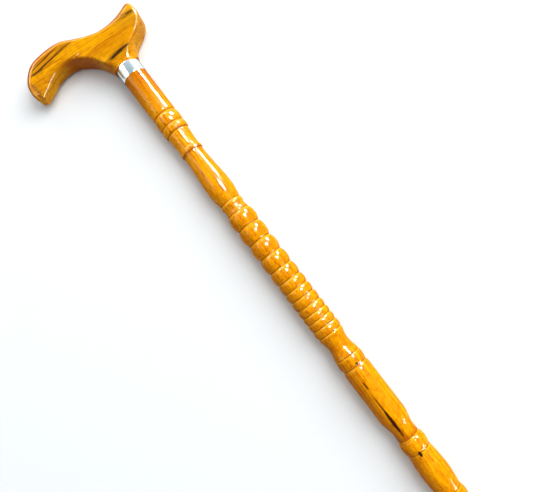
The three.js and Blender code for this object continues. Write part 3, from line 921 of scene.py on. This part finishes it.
def ferruleProfile(shape):
    body = shape["mouthRadius"] + shape["wall"]
    rim = body + shape["rimProud"]
    mouth, foot = shape["mouth"], shape["foot"]
    profile = [(0, shape["floor"]), (shape["socket"], shape["floor"])]
    roundedCorner(profile, (shape["mouthRadius"], mouth), (rim, mouth), shape["lipRounding"])
    roundedCorner(profile, (rim, mouth), (rim, mouth + shape["rim"]), shape["lipRounding"])
    rimEnd = mouth + shape["rim"]
    roundedCorner(profile, (rim, rimEnd), (body, rimEnd), shape["rimRounding"])
    roundedCorner(profile, (body, rimEnd), (body, mouth + shape["straightTo"]), shape["rootRounding"])
    profile.append((body, foot - shape["skirt"]))
    run(profile, shape["skirt"] - shape["land"] - shape["edge"], shape["footRadius"], ease)
    run(profile, shape["land"], shape["footRadius"])
    run(profile, shape["edge"], shape["footRadius"] - shape["edge"], leaveFlat)
    inner = shape["footRadius"] - shape["edge"]
    land = inner / (shape["treadRings"] + 1) - shape["treadWidth"]
    for _ in range(shape["treadRings"]):
        outer = profile[-1][0] - land
        shoulder = outer - shape["treadWidth"]
        profile += [(outer, foot), (outer, foot - shape["treadDepth"]),
                    (shoulder, foot - shape["treadDepth"]), (shoulder, foot)]
    profile.append((0, foot))
    return profile


ferruleMesh = finishMesh(spin(ferruleProfile(ferruleShape), 96), "ferrule_moulded", 38)
newPiece("ferrule_moulded", ferruleMesh, "ferrule", "ferrule", rubber)
print("ferrule made")

for name, material in (("handle_stud", studSteel), ("ferrule_washer", washerSteel)):
    mesh = nodes[name].data
    mesh.materials.clear()
    mesh.materials.append(material)


# Studio: a white table under large soft lights, then small lights, strips and cards that only the
# lacquer and the chrome mirror

def tableTop(size, colour):
    bm = bmesh.new()
    bmesh.ops.create_grid(bm, x_segments=1, y_segments=1, size=size)
    table = plainObject(bm, "table")
    material, tree, shader = newMaterial("paper_white_matt")
    setInputs(tree, shader, {
        "Base Color": linearColour(colour),
        "Roughness": 1.0,
        "Specular IOR Level": 0.0,
    })
    table.data.materials.append(material)


def softbox(name, look, target, lightsMatt, showsInGloss):
    place = Vector(target) + Vector(look["from"]).normalized() * look["distance"]
    lamp = bpy.data.lights.new(name, "AREA")
    lamp.shape, lamp.size, lamp.size_y, lamp.energy = "RECTANGLE", *look["size"], look["power"]
    box = bpy.data.objects.new(name, lamp)
    bpy.context.scene.collection.objects.link(box)
    back = (place - Vector(target)).normalized()
    across = Vector(look.get("along", (1, 0, 0)))
    across = (across - back * across.dot(back)).normalized()
    turn = Matrix((across, back.cross(across), back)).transposed().to_4x4()
    box.matrix_world = Matrix.Translation(place) @ turn
    box.visible_diffuse = lightsMatt
    box.visible_glossy = showsInGloss


studio = {
    "tableSize": 4.0, "tableColour": "DEE1E3",
    "key": {"from": (-0.1, 0.7, 0.7), "distance": 4.4, "size": (4.4, 4.4), "power": 300.0},
    "rim": {"from": (-0.92, 0.1, 0.38), "distance": 2.0, "size": (1.4, 0.5), "power": 16.0},
    "fill": {"from": (-0.1, -0.1, 1), "distance": 4.8, "size": (4.5, 4.5), "power": 100.0},
    "lowGlint": {"from": (-0.49, 0.79, 0.36), "distance": 2.0, "size": (0.62, 0.46), "power": 640.0},
    "highGlint": {"from": (-0.17, 0.5, 0.85), "distance": 2.0, "size": (0.56, 0.42), "power": 520.0},
    "strip": {"from": (-0.3, 0.7, 0.65), "along": (0.525, -0.536, 0.662), "distance": 2.0,
              "size": (2.6, 0.4), "power": 160.0},
    "edgeStrip": {"from": (-0.8, -0.05, 0.58), "along": (0, 1, 0), "distance": 2.0, "size": (1.8, 0.4),
                  "power": 150.0},
    "leftCard": {"from": (-0.5, -0.62, 0.6), "distance": 2.0, "size": (1.2, 1.0), "power": 45.0},
    "toeCard": {"from": (0.85, 0.42, 0.31), "along": (0, 1, 0), "distance": 2.0, "size": (1.2, 0.6),
                "power": 210.0},
    "target": (-0.25, 0.025, 0.02),
    "worldMatt": 0.1, "worldGloss": 0.85, "backdrop": "FFFFFF",
    "worldStops": [(0.0, "4A443E"), (0.14, "E8F2F4"), (0.55, "FAFEFF"), (0.8, "D6E4E8"), (1.0, "B4C6CE")],
}
tableTop(studio["tableSize"], studio["tableColour"])
for name in ("key", "rim", "fill"):
    softbox(name, studio[name], studio["target"], True, False)
for name in ("lowGlint", "highGlint", "strip", "edgeStrip", "leftCard", "toeCard"):
    softbox(name, studio[name], studio["target"], False, True)

world = bpy.data.worlds.new("studio")
world.use_nodes = True
bpy.context.scene.world = world
worldTree = world.node_tree
ray = addNode(worldTree, "ShaderNodeLightPath")
strength = addNode(worldTree, "ShaderNodeMapRange", inputs={
    "Value": ray.outputs["Is Diffuse Ray"],
    "To Min": studio["worldGloss"],
    "To Max": studio["worldMatt"],
}).outputs["Result"]
direction = addNode(worldTree, "ShaderNodeTexCoord").outputs["Generated"]
height = addNode(worldTree, "ShaderNodeSeparateXYZ", inputs={"Vector": direction}).outputs["Z"]
setInputs(worldTree, worldTree.nodes["Background"], {
    "Color": mixColours(worldTree, ray.outputs["Is Camera Ray"],
                        addRamp(worldTree, height, studio["worldStops"]), linearColour(studio["backdrop"])),
    "Strength": strength,
})

# Camera: half a metre above the shaft, tipped a little towards the handle and turned so that the
# stick runs down to the right
camera = {
    "station": 277.446, "out": 1.952, "up": 500.0, "tilt": 5.5, "lens": 35.122,
    "alongRight": 0.60607, "alongDown": 0.79541,
}
tilt = math.radians(camera["tilt"])
alongShaft = Vector((math.cos(tilt), 0, -math.sin(tilt)))
towardsNose = Vector((0, 1, 0))
lookBack = Vector((math.sin(tilt), 0, math.cos(tilt)))
imageRight = alongShaft * camera["alongRight"] + towardsNose * camera["alongDown"]
imageUp = towardsNose * camera["alongRight"] - alongShaft * camera["alongDown"]
eyeData = bpy.data.cameras.new("camera")
eyeData.lens, eyeData.sensor_width = camera["lens"], 36.0
eyeData.clip_start, eyeData.clip_end = 0.01, 20
eye = bpy.data.objects.new("camera", eyeData)
bpy.context.scene.collection.objects.link(eye)
eye.matrix_world = (Matrix.Translation(onStick(camera["station"], camera["out"], camera["up"]))
                    @ Matrix((imageRight, imageUp, lookBack)).transposed().to_4x4())
bpy.context.scene.camera = eye
bpy.context.scene.view_settings.view_transform = "Standard"
print("studio and camera made")
